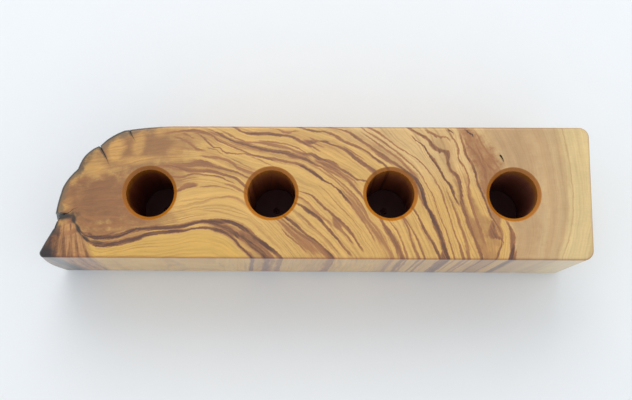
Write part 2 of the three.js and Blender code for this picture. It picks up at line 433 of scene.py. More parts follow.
class Graph:
    """A node tree being built. Every method adds a node and returns its output."""

    def __init__(self, tree):
        self.tree = tree

    def add(self, kind, **settings):
        node = self.tree.nodes.new(kind)
        for key, value in settings.items():
            setattr(node, key, value)
        return node

    def feed(self, socket, value):
        if isinstance(value, bpy.types.NodeSocket):
            self.tree.links.new(value, socket)
        else:
            socket.default_value = value

    def fed(self, node, *values):
        for socket, value in zip(node.inputs, values):
            self.feed(socket, value)
        return node.outputs[0]

    def math(self, operation, *values, clamped=False):
        return self.fed(self.add("ShaderNodeMath", operation=operation, use_clamp=clamped), *values)

    def times(self, a, b):
        return self.math("MULTIPLY", a, b)

    def plus(self, a, b):
        return self.math("ADD", a, b)

    def minus(self, a, b):
        return self.math("SUBTRACT", a, b)

    def vector(self, operation, *values):
        return self.fed(self.add("ShaderNodeVectorMath", operation=operation), *values)

    def scaled(self, vector, amount):
        node = self.add("ShaderNodeVectorMath", operation="SCALE")
        self.feed(node.inputs[0], vector)
        self.feed(node.inputs["Scale"], amount)
        return node.outputs[0]

    def length(self, vector):
        node = self.add("ShaderNodeVectorMath", operation="LENGTH")
        self.feed(node.inputs[0], vector)
        return node.outputs["Value"]

    def combine(self, x, y, z):
        return self.fed(self.add("ShaderNodeCombineXYZ"), x, y, z)

    def separate(self, vector):
        node = self.add("ShaderNodeSeparateXYZ")
        self.feed(node.inputs[0], vector)
        return list(node.outputs)

    def colour(self, red, green, blue):
        return self.fed(self.add("ShaderNodeCombineColor"), red, green, blue)

    def channels(self, colour):
        node = self.add("ShaderNodeSeparateColor")
        self.feed(node.inputs[0], colour)
        return list(node.outputs)

    def remap(self, value, low, high, to_low=0.0, to_high=1.0, kind="LINEAR"):
        node = self.add("ShaderNodeMapRange", interpolation_type=kind, clamp=kind == "LINEAR")
        return self.fed(node, value, low, high, to_low, to_high)

    def spread(self, noise_value, to_low, to_high):
        """A noise's usual range turned into another one."""
        return self.remap(noise_value, 0.3, 0.7, to_low, to_high)

    def fade(self, value, low, high):
        """Rises smoothly from 0 at low to 1 at high; low may be the larger."""
        if low < high:
            return self.remap(value, low, high, kind="SMOOTHSTEP")
        return self.remap(value, high, low, 1.0, 0.0, kind="SMOOTHSTEP")

    def noise(self, vector, scale=1.0, detail=2.0, roughness=0.5, output="Fac"):
        node = self.add("ShaderNodeTexNoise", noise_dimensions="3D")
        self.feed(node.inputs["Vector"], vector)
        self.feed(node.inputs["Scale"], scale)
        self.feed(node.inputs["Detail"], detail)
        self.feed(node.inputs["Roughness"], roughness)
        return node.outputs[output]

    def curve(self, x, points, x_range, y_range):
        """A smooth curve through (x, y) points, given and returned in the points' own units."""
        node = self.add("ShaderNodeFloatCurve")
        self.feed(node.inputs["Value"], self.remap(x, *x_range))
        draw_curve(node.mapping, 0, points, x_range, y_range)
        low, high = y_range
        return self.math("MULTIPLY_ADD", node.outputs[0], high - low, low)

    def mix(self, amount, a, b, kind="MIX"):
        node = self.add("ShaderNodeMix", data_type="RGBA", blend_type=kind)
        self.feed(node.inputs[0], amount)
        self.feed(node.inputs[6], a)
        self.feed(node.inputs[7], b)
        return node.outputs[2]

    def tint(self, colour, other):
        return self.mix(1.0, colour, other, kind="MULTIPLY")

    def shade(self, colour, value):
        return self.tint(colour, self.colour(value, value, value))

    def bump(self, height, distance, strength):
        node = self.add("ShaderNodeBump")
        self.feed(node.inputs["Height"], height)
        self.feed(node.inputs["Distance"], distance)
        self.feed(node.inputs["Strength"], strength)
        return node.outputs[0]

    def call(self, group, *values):
        return self.fed(self.add("ShaderNodeGroup", node_tree=group), *values)


def draw_curve(mapping, channel, points, x_range, y_range):
    """Puts points on one channel of a curve node. Beyond its ends the curve stays level."""
    low_x, high_x = x_range
    low_y, high_y = y_range
    mapping.extend = "HORIZONTAL"
    line = mapping.curves[channel]
    places = sorted(((x - low_x) / (high_x - low_x), (y - low_y) / (high_y - low_y)) for x, y in points)
    while len(line.points) < len(places):
        line.points.new(0.5, 0.5)
    for point, place in zip(line.points, places):
        point.location = place
        point.handle_type = "AUTO_CLAMPED"
    mapping.update()


def node_group(name, inputs, build):
    """A reusable group with one output, which build(graph, *inputs) returns."""
    tree = bpy.data.node_groups.new(name, "ShaderNodeTree")
    for label in inputs:
        tree.interface.new_socket(name=label, in_out="INPUT", socket_type="NodeSocketFloat")
    tree.interface.new_socket(name="amount", in_out="OUTPUT", socket_type="NodeSocketFloat")
    g = Graph(tree)
    given = list(g.add("NodeGroupInput").outputs)[:len(inputs)]
    made = build(g, *given)
    end = g.add("NodeGroupOutput")
    g.feed(end.inputs[0], made)
    return tree


def new_material(name):
    """An empty material, its graph, and the place being shaded, in millimetres."""
    material = bpy.data.materials.new(name)
    material.use_nodes = True
    material.node_tree.nodes.clear()
    g = Graph(material.node_tree)
    place = g.scaled(g.add("ShaderNodeTexCoord").outputs["Object"], 1 / MM)
    return material, g, place


def finish_surface(g, **inputs):
    shader = g.add("ShaderNodeBsdfPrincipled")
    for key, value in inputs.items():
        g.feed(shader.inputs[key.replace("_", " ")], value)
    output = g.add("ShaderNodeOutputMaterial")
    g.feed(output.inputs[0], shader.outputs[0])


def linear(value):
    """A 0-255 screen value as linear light."""
    value = value / 255
    return value / 12.92 if value <= 0.04045 else ((value + 0.055) / 1.055) ** 2.4


def srgb(red, green, blue):
    return (linear(red), linear(green), linear(blue), 1.0)


def lit(red, green, blue):
    """The surface colour that shows as this screen colour under the studio light."""
    return tuple(max(linear(v) - SHEEN, 0.004) / BRIGHTNESS for v in (red, green, blue)) + (1.0,)


# ---------------------------------------------------------------- olive wood

# the pith, then the ranges of angle, distance and height that the curves cover, in degrees and mm
PITH = (-65.0, -60.0)
ANGLES = (10.0, 155.0)
REACH = (0.0, 190.0)
HEIGHTS = (0.0, 135.0)
FIRST_HEIGHT = 0.3

# growth rings seen on the top face, nested round the pith: each a few places that the ring passes
RINGS = [
    [(-83, -23), (-75, -26), (-60, -26), (-45, -24), (-35, -23.5), (-28, -27)],
    [(-82.6, -14), (-80.5, -16.5), (-78, -18), (-73, -19), (-68, -18.1), (-64, -16.8), (-59, -14.9),
     (-52, -13.9), (-45, -13.6), (-41, -12.3), (-37.5, -11.8), (-33, -12.9), (-28, -15.5), (-24.5, -19),
     (-19.5, -23.8)],
    [(-85.5, -8.2), (-83.4, -11), (-82.3, -13), (-80.2, -15.6), (-76.5, -16.4), (-70, -16.2), (-65, -14.7),
     (-59, -12.9), (-52, -12.5), (-46, -12.2), (-40, -10.5), (-36.5, -9.9), (-30, -10.1), (-25, -12),
     (-20, -15.6), (-14, -20), (-9.5, -23.8)],
    [(-83, -7), (-78, -9.3), (-72, -9.3), (-66, -10), (-60, -11.3), (-54, -11), (-48, -9.6), (-41, -8),
     (-34, -8), (-27, -8.8), (-22, -9.8), (-18.5, -13), (-13, -18.5), (-8, -23.8)],
    [(-81, -4.6), (-74, -4.2), (-67, -3.7), (-58, -5.5), (-49, -5.4), (-40, -3.5), (-33, -1.7), (-28, -1.4),
     (-24, -3.2), (-18, -9.3), (-9, -18.5), (-4.5, -23.8)],
    [(-83, -1.5), (-76, 0.3), (-67, 0.7), (-58, 1.5), (-47, 1), (-43.5, 2.2), (-40, 2.8), (-32, 1.8),
     (-28, 0.8), (-24.5, -0.9), (-18, -5), (-12, -10.2), (-6.5, -16.2), (-3, -19.8), (-0.5, -23.8)],
    [(-85, 3), (-76, 3.4), (-67, 4.4), (-58, 8.4), (-50, 9), (-45, 7.7), (-37, 7.3), (-31, 6), (-27, 4.8),
     (-23.3, 1.8), (-16, -4), (-9, -9.3), (-3, -14.2), (3, -18.5), (8, -23.4)],
    [(-84, 4.8), (-75, 6.2), (-66, 8.2), (-60, 10), (-52, 10.8), (-45, 11.3), (-40, 11.9), (-36.5, 10.9),
     (-31, 8.6), (-27, 7.4), (-22, 5), (-13, 1), (-4, -2), (1.5, -6.8), (6, -12.3), (11, -18.8), (15, -23.8)],
    [(-82, 10.5), (-70, 12), (-58, 14.5), (-48, 15.2), (-40, 14), (-33, 12.7), (-28, 10.3), (-22, 8),
     (-12, 5), (-4, 1.2), (0.5, -0.6), (3, -3.5), (8, -8.3), (11, -10.7), (14.5, -14.5), (18.5, -20.5),
     (20.8, -23.8)],
    [(-76, 17), (-62, 20.5), (-48, 22.5), (-40, 22.6), (-35.5, 20.8), (-33, 18.4), (-27, 16), (-22, 14.3),
     (-15, 13), (-10, 11), (-4, 10.3), (0, 8.2), (5, 4.7), (8.5, 2.8), (12.5, -1.8), (17.5, -8),
     (22, -14.8), (25.5, -21.5), (26.5, -23.8)],
    [(-38.5, 23.6), (-34.3, 21.8), (-30, 19.5), (-26, 18), (-20, 16.3), (-13, 14.9), (-7, 13.7), (-2, 11.8),
     (1, 10), (4, 8.4), (8, 5.2), (11, 2.4), (14, -0.4), (16.5, -2.8), (18.5, -6), (20.5, -9.5), (24, -13),
     (27, -18), (29.5, -23.8)],
    [(-29, 24), (-25, 22.3), (-21, 21.1), (-12, 21.3), (-7, 20.1), (-3, 18.6), (-0.5, 16.5), (4, 13.3),
     (8, 11.3), (12, 9.3), (17, 6.8), (20, 3.5), (24, -3), (27, -9.8), (29.5, -13.5), (31.3, -17),
     (33.3, -23.8)],
    [(-16, 24), (-8, 22.6), (-3, 21.6), (1, 20), (4, 19), (8, 18), (12, 15.8), (17, 12), (20, 9.5),
     (23.5, 6.5), (29, -1), (33.3, -8.3), (35.5, -12.5), (38.2, -19), (40, -23.8)],
    [(-2, 24), (3, 23), (9, 20.8), (13, 18.2), (18, 16), (21, 14.3), (23.5, 12), (27, 9.8), (31, 5),
     (36.3, -5.8), (40, -11.8), (43.5, -18), (46.3, -23.8)],
    [(8, 24), (14, 22.2), (17.5, 19.8), (21, 17.2), (25.5, 14), (31, 10.3), (35.5, 7.2), (38.4, 4.6),
     (40.8, -0.5), (43.2, -8.5), (46, -16), (48.7, -23.8)],
    [(17.5, 24), (23, 20), (29, 15.5), (35, 11.5), (39, 6.8), (43, 0), (46, -9), (48.7, -18), (50.4, -23.8)],
    [(27, 24), (30, 20.5), (33, 17.8), (36, 15), (40, 11), (43, 7), (46, 1), (48.2, -6), (50.8, -15),
     (53.3, -23.8)],
    [(36, 24), (40, 19.7), (42, 15), (45, 10), (48.5, 4), (50.5, -0.5), (53.5, -6), (56.8, -14),
     (60.5, -23.8)],
    [(46, 24), (49, 19.5), (50.5, 13.5), (52.5, 8), (54.3, 3), (55.4, -1), (57, -6), (59.5, -13),
     (62.5, -23.8)],
    [(53.5, 24), (55.5, 18.5), (56.5, 13), (58.5, 7.5), (60.7, 0), (62.8, -5), (65.2, -10.2),
     (67.3, -14.5), (67.5, -18), (66.5, -23.8)],
    [(62, 24), (65, 19), (67.6, 13.5), (69.2, 10.2), (70, 5), (70.2, -3), (70.8, -10.5), (72.3, -14.2),
     (72, -19), (70.6, -23.8)],
    [(82, 24), (84.7, 12), (86.3, 0), (86.3, -9), (83.5, -24)],
    [(90, 24), (92, 12), (92.9, 0), (92.4, -10), (88.5, -24)],
    [(98, 24), (100.5, 8), (101, -4), (97.5, -24)],
]

# streaks in one shader group, the strengths that a curve can hold, and a height beyond every patch
BATCH = 12
STRENGTHS = (0.0, 1.5)
FAR_DOWN = 1e6

# the middle that the live edge turns about, its range of turns and reach, and the middle of the fan
LIVE_CENTRE = (-60.0, -12.0)
LIVE_TURNS = (-25.0, 115.0)
LIVE_REACH = (0.0, 60.0)
FAN = (-87.0, 6.0)

# Dark heartwood streaks. Each is its strength, then the places it passes:
# (angle about the pith, height across the rings, half width).
STREAKS = [
    # round the pale lens at the front left
    (0.95, [(110, 10.0, 0.6), (106, 9.6, 1.1), (99, 9.4, 1.3), (92, 9.3, 1.2), (86, 8.8, 0.9), (81, 9.2, 0.7),
            (70, 9.4, 0.5), (60, 9.0, 0.4), (52, 9.5, 0.6), (38, 9.3, 0.6)]),
    (1.04, [(111, 12.6, 0.9), (107, 13.1, 0.9), (100, 12.9, 1.0), (92, 12.9, 1.0), (86, 13.4, 0.6),
            (82, 12.6, 1.3)]),
    (0.95, [(84, 12.4, 0.6), (79, 12.4, 1.9), (74, 12.0, 2.2), (68, 12.2, 1.9), (63, 12.5, 1.5),
            (58, 11.8, 1.6),
            (54, 13.1, 0.9), (46, 13.4, 0.7), (36, 13.6, 0.6)]),
    (0.85, [(60, 10.8, 0.5), (56, 10.8, 0.9), (51, 10.8, 1.0), (47, 11.5, 0.6), (36, 11.8, 0.5)]),
    (0.6, [(48, 12.3, 0.3), (36, 12.5, 0.35)]),
    (0.45, [(109, 15.2, 0.25), (98, 15.3, 0.35), (84, 15.2, 0.25)]),
    (0.45, [(107, 16.4, 0.3), (99, 16.8, 0.35), (91, 17.0, 0.25)]),
    (0.35, [(108, 14.3, 0.2), (98, 14.2, 0.25), (90, 14.3, 0.2)]),
    (0.25, [(70, 15.7, 0.2), (62, 16.2, 0.25)]),
    (0.25, [(63, 17.6, 0.2), (57, 17.1, 0.25), (52, 16.6, 0.2)]),
    (0.22, [(52, 16.4, 0.4), (45, 17.0, 0.9), (36, 17.4, 0.9)]),
    (0.22, [(72, 20.2, 0.3), (66, 20.5, 0.7), (61, 20.9, 0.3)]),
    (0.3, [(61, 20.9, 0.3), (56, 21.0, 0.4), (53, 20.9, 0.3)]),
    (0.22, [(72, 22.2, 0.2), (66, 21.8, 0.3), (62, 21.3, 0.2)]),
    # between the first and second bores
    (0.62, [(74.5, 25.0, 0.4), (72.5, 25.9, 0.8), (69.5, 25.4, 0.5)]),
    (0.4, [(67, 25.0, 0.2), (63, 25.5, 0.35), (58, 25.3, 0.3)]),
    (0.42, [(61, 27.0, 0.4), (58, 27.2, 0.7), (55, 27.4, 0.5)]),
    (0.6, [(78, 28.3, 0.2), (74, 28.5, 0.35), (71, 29.3, 0.35), (67, 28.9, 0.3), (64, 29.0, 0.3),
           (61, 28.2, 0.2)]),
    (0.4, [(75, 27.6, 0.2), (72, 28.0, 0.25), (70, 27.8, 0.2)]),
    (0.66, [(81, 30.5, 0.6), (76, 30.6, 0.8), (70, 30.4, 0.8), (67, 30.6, 1.0), (62, 30.4, 0.7),
            (55, 30.3, 0.7)]),
    (0.6, [(78, 32.0, 0.5), (74, 32.1, 0.9), (70, 33.0, 1.2), (66, 33.2, 0.8), (61, 33.9, 0.6),
           (56, 34.2, 0.6)]),
    (0.5, [(70, 36.4, 0.5), (67, 37.6, 0.8), (63.5, 38.6, 0.7), (60.5, 36.8, 0.9), (57, 37.2, 1.2)]),
    (0.5, [(75, 40.6, 0.3), (72.5, 39.4, 0.45), (71, 39.4, 0.3)]),
    (0.45, [(79, 42.8, 0.3), (76, 41.2, 0.35), (74.5, 40.4, 0.3)]),
    (0.45, [(77, 43.6, 0.3), (74.5, 42.2, 0.3)]),
    (0.6, [(73.5, 43.8, 0.2), (70.4, 42.1, 0.3), (68.8, 41.6, 0.3), (67.5, 42.2, 0.35), (66, 41.1, 0.35),
           (63.5, 42.2, 0.35), (60.8, 43.9, 0.25)]),
    (0.4, [(70, 40.6, 0.2), (68, 40.8, 0.25), (66.5, 40.0, 0.2)]),
    (0.42, [(63, 39.8, 0.2), (60, 39.5, 0.3), (57.5, 39.1, 0.25)]),
    (0.4, [(59, 43.4, 0.2), (57, 42.7, 0.25), (54, 42.2, 0.2)]),
    # the long thin ring line that runs right across
    (0.66, [(79, 44.4, 0.4), (74, 44.5, 0.5), (68, 44.9, 0.5), (63, 44.8, 0.35), (57, 44.0, 0.45),
            (53, 45.1, 0.8),
            (49, 45.0, 0.7)]),
    (0.88, [(49.5, 44.7, 0.4), (45, 44.7, 0.5), (41.5, 44.4, 0.3), (38.5, 44.8, 0.4), (36, 44.8, 0.35)]),
    (0.45, [(36.5, 44.9, 0.4), (32, 44.6, 0.4), (27, 44.4, 0.4)]),
    # right of the second bore
    (0.5, [(43, 26.2, 0.5), (39.5, 26.8, 1.2), (36, 27.2, 1.2), (31, 27.9, 0.9)]),
    (0.65, [(42, 28.6, 0.5), (38, 29.0, 0.7), (34, 29.3, 0.7), (27, 30.0, 0.8)]),
    (0.5, [(40, 24.6, 0.3), (36, 25.3, 0.4), (32, 26.0, 0.3)]),
    (0.85, [(43.5, 30.3, 0.25), (39, 30.5, 0.3), (34, 30.2, 0.3), (27, 30.5, 0.3)]),
    (0.35, [(42, 32.0, 0.15), (38, 32.2, 0.2), (28, 32.3, 0.2)]),
    (0.8, [(43, 33.2, 0.2), (39.5, 33.6, 0.3), (37, 34.0, 0.3), (34, 34.1, 0.35), (27, 34.3, 0.35)]),
    (0.45, [(45, 34.4, 0.3), (41, 34.5, 0.4), (37.5, 34.6, 0.5), (34.5, 35.5, 0.5)]),
    (0.5, [(35.5, 38.0, 0.4), (33.2, 37.0, 1.3), (31.8, 36.8, 0.5), (28.5, 37.0, 0.3)]),
    (0.75, [(43.5, 37.0, 0.3), (42, 37.9, 0.4), (40, 38.2, 0.5), (36, 38.3, 0.45), (33, 38.3, 0.5),
            (27, 38.4, 0.4)]),
    (0.42, [(38, 46.2, 0.8), (33, 46.4, 1.5), (26, 46.5, 1.3)]),
    (0.35, [(42, 41.9, 0.15), (36, 41.7, 0.2), (30, 41.9, 0.15)]),
    # the cluster along the back edge
    (0.45, [(71.5, 46.2, 0.6), (70.3, 46.8, 1.2), (68.8, 48.0, 0.6)]),
    (0.45, [(70.5, 46.0, 0.3), (66, 45.9, 0.4), (62, 46.2, 0.3)]),
    (0.82, [(70, 49.1, 0.4), (68, 49.0, 0.9), (65, 48.8, 0.8), (62, 49.1, 1.0), (58, 48.6, 1.0),
            (54, 49.1, 0.8),
            (51, 48.7, 1.2), (48.5, 49.6, 0.9), (45.5, 50.0, 0.5)]),
    (0.5, [(65, 47.5, 0.3), (62, 47.7, 0.5), (58, 47.2, 0.3)]),
    (0.42, [(46, 48.6, 0.6), (40, 48.6, 0.9), (33, 48.9, 0.7), (26, 48.6, 1.1), (20, 48.4, 1.2)]),
    (0.5, [(43, 49.8, 0.2), (37, 49.9, 0.3), (29, 49.4, 0.25)]),
    (0.5, [(67, 51.0, 0.4), (63, 50.6, 0.4), (58, 51.2, 0.6), (53, 50.9, 0.5), (50, 50.7, 0.5)]),
    (0.5, [(59, 51.9, 0.25), (54, 52.0, 0.25), (50, 52.0, 0.3)]),
    (0.72, [(50.5, 50.8, 0.7), (48.5, 52.8, 0.9), (46.8, 53.0, 0.6), (45, 54.0, 0.9), (42.5, 53.4, 0.4),
            (39.5, 53.2, 0.3), (37, 55.2, 0.35)]),
    (0.66, [(46.5, 51.6, 0.6), (44.3, 52.0, 1.0), (42, 51.6, 0.5), (39, 51.5, 0.4), (35.5, 51.3, 0.3)]),
    (0.5, [(44.5, 52.9, 0.3), (41, 52.3, 0.3), (38.5, 52.6, 0.25)]),
    (0.5, [(45, 50.5, 0.3), (43, 50.6, 0.35), (41.5, 50.9, 0.25)]),
    (0.8, [(66, 54.9, 0.4), (64, 54.3, 0.45), (60, 55.2, 0.8), (57, 54.2, 0.5), (55, 54.9, 0.6),
           (52.5, 54.3, 0.5),
           (50.8, 54.8, 0.6), (49.7, 55.6, 0.3)]),
    (0.72, [(51.6, 55.4, 0.8), (50.9, 56.2, 1.4), (50.1, 57.2, 0.9), (49.8, 58.6, 0.5)]),
    (0.76, [(49.9, 58.4, 0.4), (48.7, 59.3, 0.5), (47.5, 58.8, 0.35), (45, 59.4, 0.4), (41.5, 59.4, 0.8),
            (39, 59.4, 0.8), (36.5, 59.2, 0.5)]),
    (0.45, [(49.8, 57.1, 0.4), (48.2, 57.2, 0.25)]),
    (0.5, [(45, 60.3, 0.3), (41.5, 60.6, 0.3)]),
    (0.5, [(59, 58.5, 0.3), (57.2, 58.0, 0.7), (56.2, 56.9, 1.6), (55.2, 57.6, 1.5), (54.6, 59.6, 0.5)]),
    (0.72, [(53.2, 61.8, 0.4), (51.5, 62.2, 0.5), (50, 63.2, 0.4), (46.5, 63.2, 0.8), (44, 63.5, 0.7),
            (40, 63.6, 0.4), (35.5, 63.2, 0.4)]),
    (0.68, [(49, 66.3, 0.3), (46.5, 67.1, 0.5), (43, 67.1, 0.8), (39, 66.6, 1.2), (36, 67.2, 0.6)]),
    (0.5, [(44, 69.3, 0.2), (40, 69.3, 0.3), (36.5, 68.9, 0.4), (33.5, 67.8, 0.5)]),
    # right of the third bore
    (0.68, [(29.5, 52.9, 0.5), (26.5, 52.4, 1.2), (23.5, 52.9, 1.4), (21, 53.6, 1.2), (18, 54.6, 1.0)]),
    (0.5, [(28.5, 55.3, 0.2), (25.5, 55.5, 0.25), (19, 55.5, 0.4)]),
    (0.6, [(28.5, 58.6, 0.25), (26, 58.8, 0.3), (23, 58.3, 0.35), (18, 58.5, 0.4)]),
    (0.6, [(28.7, 59.0, 0.3), (25, 59.6, 0.25), (22, 60.0, 0.3), (17, 59.7, 0.35)]),
    (0.75, [(29, 63.6, 0.5), (27, 63.9, 0.3), (24.5, 63.4, 0.55), (20, 63.7, 0.55), (16, 63.8, 0.7)]),
    (0.92, [(36, 67.0, 0.4), (31, 67.3, 0.5), (28, 66.9, 0.45), (25.5, 67.8, 0.8), (22.5, 67.8, 1.1),
            (19.5, 67.4, 1.6), (15, 67.0, 2.3)]),
    (0.6, [(31.5, 66.5, 0.25), (29, 66.4, 0.3), (27, 66.9, 0.3)]),
    (0.75, [(19.6, 66.2, 0.7), (18.6, 65.6, 2.2), (15, 66.0, 2.6)]),
    (0.48, [(45, 70.3, 0.2), (39, 70.6, 0.3), (36, 70.0, 0.3), (31, 70.3, 0.2), (26, 70.2, 0.2),
            (22.5, 70.9, 0.35),
            (16, 71.2, 0.4)]),
    (0.48, [(45, 71.2, 0.2), (41, 72.0, 0.3), (38, 72.1, 0.3), (35, 73.3, 0.3), (31.5, 73.7, 0.2)]),
    (0.52, [(30, 74.1, 0.3), (28.3, 74.2, 0.5), (25.5, 74.2, 0.25), (21, 74.3, 0.3), (15, 74.9, 0.6)]),
    (0.9, [(37.7, 77.3, 0.2), (35.3, 78.8, 0.4), (32.5, 79.0, 0.5), (30.8, 78.8, 0.45), (28.5, 79.5, 0.5),
           (26.7, 79.0, 0.35)]),
    (0.5, [(27.5, 77.0, 0.3), (24, 76.7, 0.45), (20.5, 76.6, 0.45), (15.5, 75.5, 0.5)]),
    (0.74, [(40.5, 78.1, 0.3), (37, 79.9, 0.4), (34.8, 80.9, 0.5), (33.2, 82.9, 0.7), (31.8, 81.8, 0.4),
            (31, 81.8, 0.45), (29.7, 82.9, 0.7), (27, 82.0, 0.6), (25.5, 80.3, 0.9), (21, 79.7, 0.9),
            (14.5, 79.7, 0.9)]),
    (0.55, [(38, 81.0, 0.3), (36.6, 82.2, 0.4), (35.2, 84.6, 0.35)]),
    (0.56, [(35.4, 85.5, 0.3), (33.3, 86.5, 0.4), (31.8, 85.8, 0.3), (30.2, 86.8, 0.4), (28.3, 86.6, 0.4),
            (26.7, 85.1, 0.6), (23.5, 84.3, 0.6), (20, 84.0, 0.6)]),
    (0.76, [(33.5, 88.7, 0.4), (32.2, 88.9, 0.6), (30.2, 89.8, 0.4), (27.5, 89.5, 0.4), (25.5, 89.9, 0.35),
            (22.5, 89.4, 0.4), (20.2, 90.0, 0.5)]),
    # round and below the fourth bore
    (0.6, [(33.3, 89.9, 0.3), (31.5, 91.8, 0.4), (29, 92.3, 0.5), (26.5, 91.8, 0.4)]),
    (0.55, [(32, 93.0, 0.3), (30, 93.3, 0.3), (27.5, 94.7, 0.45)]),
    (0.4, [(34, 94.2, 0.2), (30, 95.3, 0.25), (27.5, 96.2, 0.25)]),
    (0.7, [(21.2, 88.8, 0.7), (19.6, 87.4, 1.5), (18.7, 89.2, 0.8), (18.2, 90.8, 0.4)]),
    (0.7, [(18.7, 90.4, 0.3), (17, 89.0, 0.5), (14, 86.0, 0.7)]),
    (0.7, [(20.3, 95.8, 0.5), (18.2, 96.2, 1.5), (16.5, 96.8, 1.5)]),
    (0.95, [(17.2, 97.0, 0.9), (15.6, 97.4, 1.9), (12, 97.8, 2.2)]),
    # the faint line where the tan wood meets the pale wood
    (0.22, [(36, 120.7, 0.25), (28, 121.1, 0.35), (20, 121.2, 0.35), (13, 120.8, 0.25)]),
    # small dark flecks
    (1.25, [(34.8, 91.2, 0.15), (34.2, 92.2, 0.35), (33.6, 93.0, 0.2)]),
    (1.1, [(36.3, 85.8, 0.2), (35.9, 86.1, 0.4), (35.6, 86.4, 0.2)]),
]

# Wide soft fields of brown wood, in the same form.
FIELDS = [
    (0.95, [(125, 24, 11), (108, 24, 10), (96, 24, 10), (89, 24, 9.5), (84, 24, 9.0), (78, 24, 5)]),
    (0.6, [(112, 11.3, 2.0), (98, 11.2, 2.0), (86, 11.4, 2.0), (80, 11.6, 1.6)]),
    (0.4, [(60, 11.4, 1.6), (50, 11.6, 2.0), (36, 11.6, 2.0)]),
    (0.35, [(86, 15.8, 1.5), (80, 16, 1.5), (72, 15.4, 0.8)]),
    (0.5, [(103, 37, 4.5), (95, 40, 5.5), (86, 41, 6), (79, 41, 5), (74, 42, 3.5), (71, 44, 1.5)]),
    (0.45, [(85, 31, 2.5), (76, 31.5, 2.5), (68, 32, 2), (60, 33, 1.2)]),
    (0.3, [(70, 38, 2), (64, 37.5, 1.8), (57, 37, 2)]),
    (0.4, [(73, 47, 2), (60, 48, 2.2), (48, 49.5, 2.2)]),
    (0.35, [(47, 52, 1.5), (43, 52.5, 2), (38, 52, 1)]),
    (0.3, [(60, 56, 2), (52, 57, 2.5), (46, 59, 2)]),
    (0.35, [(44, 27, 1.6), (36, 27.5, 2.4), (27, 28.5, 2.4)]),
    (0.3, [(50, 66.5, 1.5), (40, 66.8, 2), (34, 67.5, 1.2)]),
    (0.35, [(38, 47, 2.2), (30, 47, 2.6), (19, 47.5, 2.6)]),
    (0.75, [(28, 82, 1), (24.5, 80.5, 1.5), (20.5, 82.5, 3.4), (14, 83, 4.5)]),
    (0.35, [(36, 82, 1.5), (33, 83, 1.6), (30, 82.5, 1)]),
    (0.65, [(28, 85.4, 0.8), (24, 85.2, 1.1), (20, 86.5, 3), (14, 86.5, 3)]),
    (0.95, [(36, 89.5, 1.5), (33, 92, 3.2), (30, 93.2, 3.9), (26, 93.4, 3.9), (22, 92, 2.5), (20, 90, 1)]),
    (0.3, [(36, 103, 6), (28, 104, 7), (20, 103, 6), (12, 103, 5)]),
    (0.22, [(35, 112.5, 1.6), (28, 113, 1.9), (20, 113.4, 1.9), (13, 113, 1.4)]),
    (0.18, [(33, 118.2, 0.9), (28, 118.4, 1.2), (20, 118.6, 1.1), (15, 118, 0.9)]),
]

# Honey patches in the brown wood behind the live edge: x, y, half sizes, turn in degrees, strength.
PATCHES = [
    (-77.2, 8.4, 3.8, 2.8, 10, 0.9),
    (-69.8, 15.6, 2.7, 5.0, -14, 1.0),
    (-61.5, 11.4, 8.0, 1.6, 7, 0.85),
    (-61.6, 17.6, 2.4, 5.2, -8, 0.8),
    (-54.5, 21.8, 2.6, 2.0, 0, 0.5),
    (-48.5, 14.0, 2.6, 4.0, -25, 0.5),
    (-88.8, -6.0, 3.6, 1.4, 6, 0.75),
    (-86.0, -3.5, 2.2, 1.6, 30, 0.25),
]

# Russet heartwood behind the live edge, and ink-dark marks: painted shade round the crevice's mouth, and dark
# marks along the cracks.
RUSSETS = [
    (-76.0, -4.0, 13.0, 12.0, 0, 0.95),
    (-61.0, -10.5, 12.0, 3.6, 6, 0.6),
    (-61.0, 15.0, 17.0, 11.0, 0, 0.75),
    (-50.0, 6.0, 9.0, 4.0, -12, 0.35),
]
DARK_MARKS_AND_FOLD_SHADE = [
    # painted shade: these first two darken the crevice's mouth, where its inner wall lies in shade
    (-87.4, -9.3, 4.4, 1.3, 8, 0.95),
    (-91.0, -12.4, 1.2, 3.6, -18, 1.0),
    (-84.0, -10.0, 0.8, 2.2, 12, 0.9),
    (-82.2, -13.9, 0.7, 2.8, 27, 0.9),
    (-79.6, -17.0, 0.7, 2.0, 50, 0.8),
    (-75.6, -18.4, 0.6, 2.6, 80, 0.6),
    (-74.8, 14.2, 0.6, 3.4, 31, 0.75),
    (-65.4, 22.0, 0.6, 2.4, 27, 0.75),
    (-70.5, 20.6, 6.0, 1.0, 26, 0.45),
    (-80.6, 10.6, 1.2, 4.6, -37, 0.45),
    (68.2, 12.9, 0.5, 1.8, 25, 0.6),
]

# screen colour = BRIGHTNESS * surface colour + SHEEN, as linear light on the top face
BRIGHTNESS = 1.14
SHEEN = 0.043
HONEY = lit(225, 180, 107)
LENS = lit(226, 180, 98)
BROWN = lit(172, 121, 82)
PURPLE = lit(106, 76, 64)
RUSSET = lit(152, 108, 76)
INK = lit(58, 48, 48)
TAN = lit(211, 178, 132)
PALE = lit(227, 199, 144)
CREAM = lit(230, 194, 138)
WEATHERED = lit(136, 114, 90)
# near black: the cores of the strongest streaks, and painted shade in the crevice and in the corner pocket
STREAK_BLACK_AND_SHADE = lit(36, 28, 26)
PATCH = lit(216, 166, 98)
FAN_PALE = lit(200, 148, 98)
FAN_DARK = lit(130, 90, 66)
TIP_BAND = lit(84, 66, 58)
TIP_CORNER = lit(68, 50, 42)
RIM = lit(56, 42, 34)
BARK_DARK = lit(66, 50, 41)
BARK_PALE = lit(138, 105, 77)
RUBBED_EDGE = (0.72, 0.52, 0.34, 1.0)
BURNISHED = (0.86, 0.6, 0.34, 1.0)
BORED = lit(208, 138, 52)
BORE_WALL = (0.56, 0.34, 0.5, 1.0)
# painted shade at the bottom of each bore
BORE_FLOOR_SHADE = (0.13, 0.055, 0.055, 1.0)
FELT_DARK = srgb(52, 44, 38)
FELT_PALE = srgb(98, 86, 76)
FELT_BROWN = srgb(70, 58, 48)


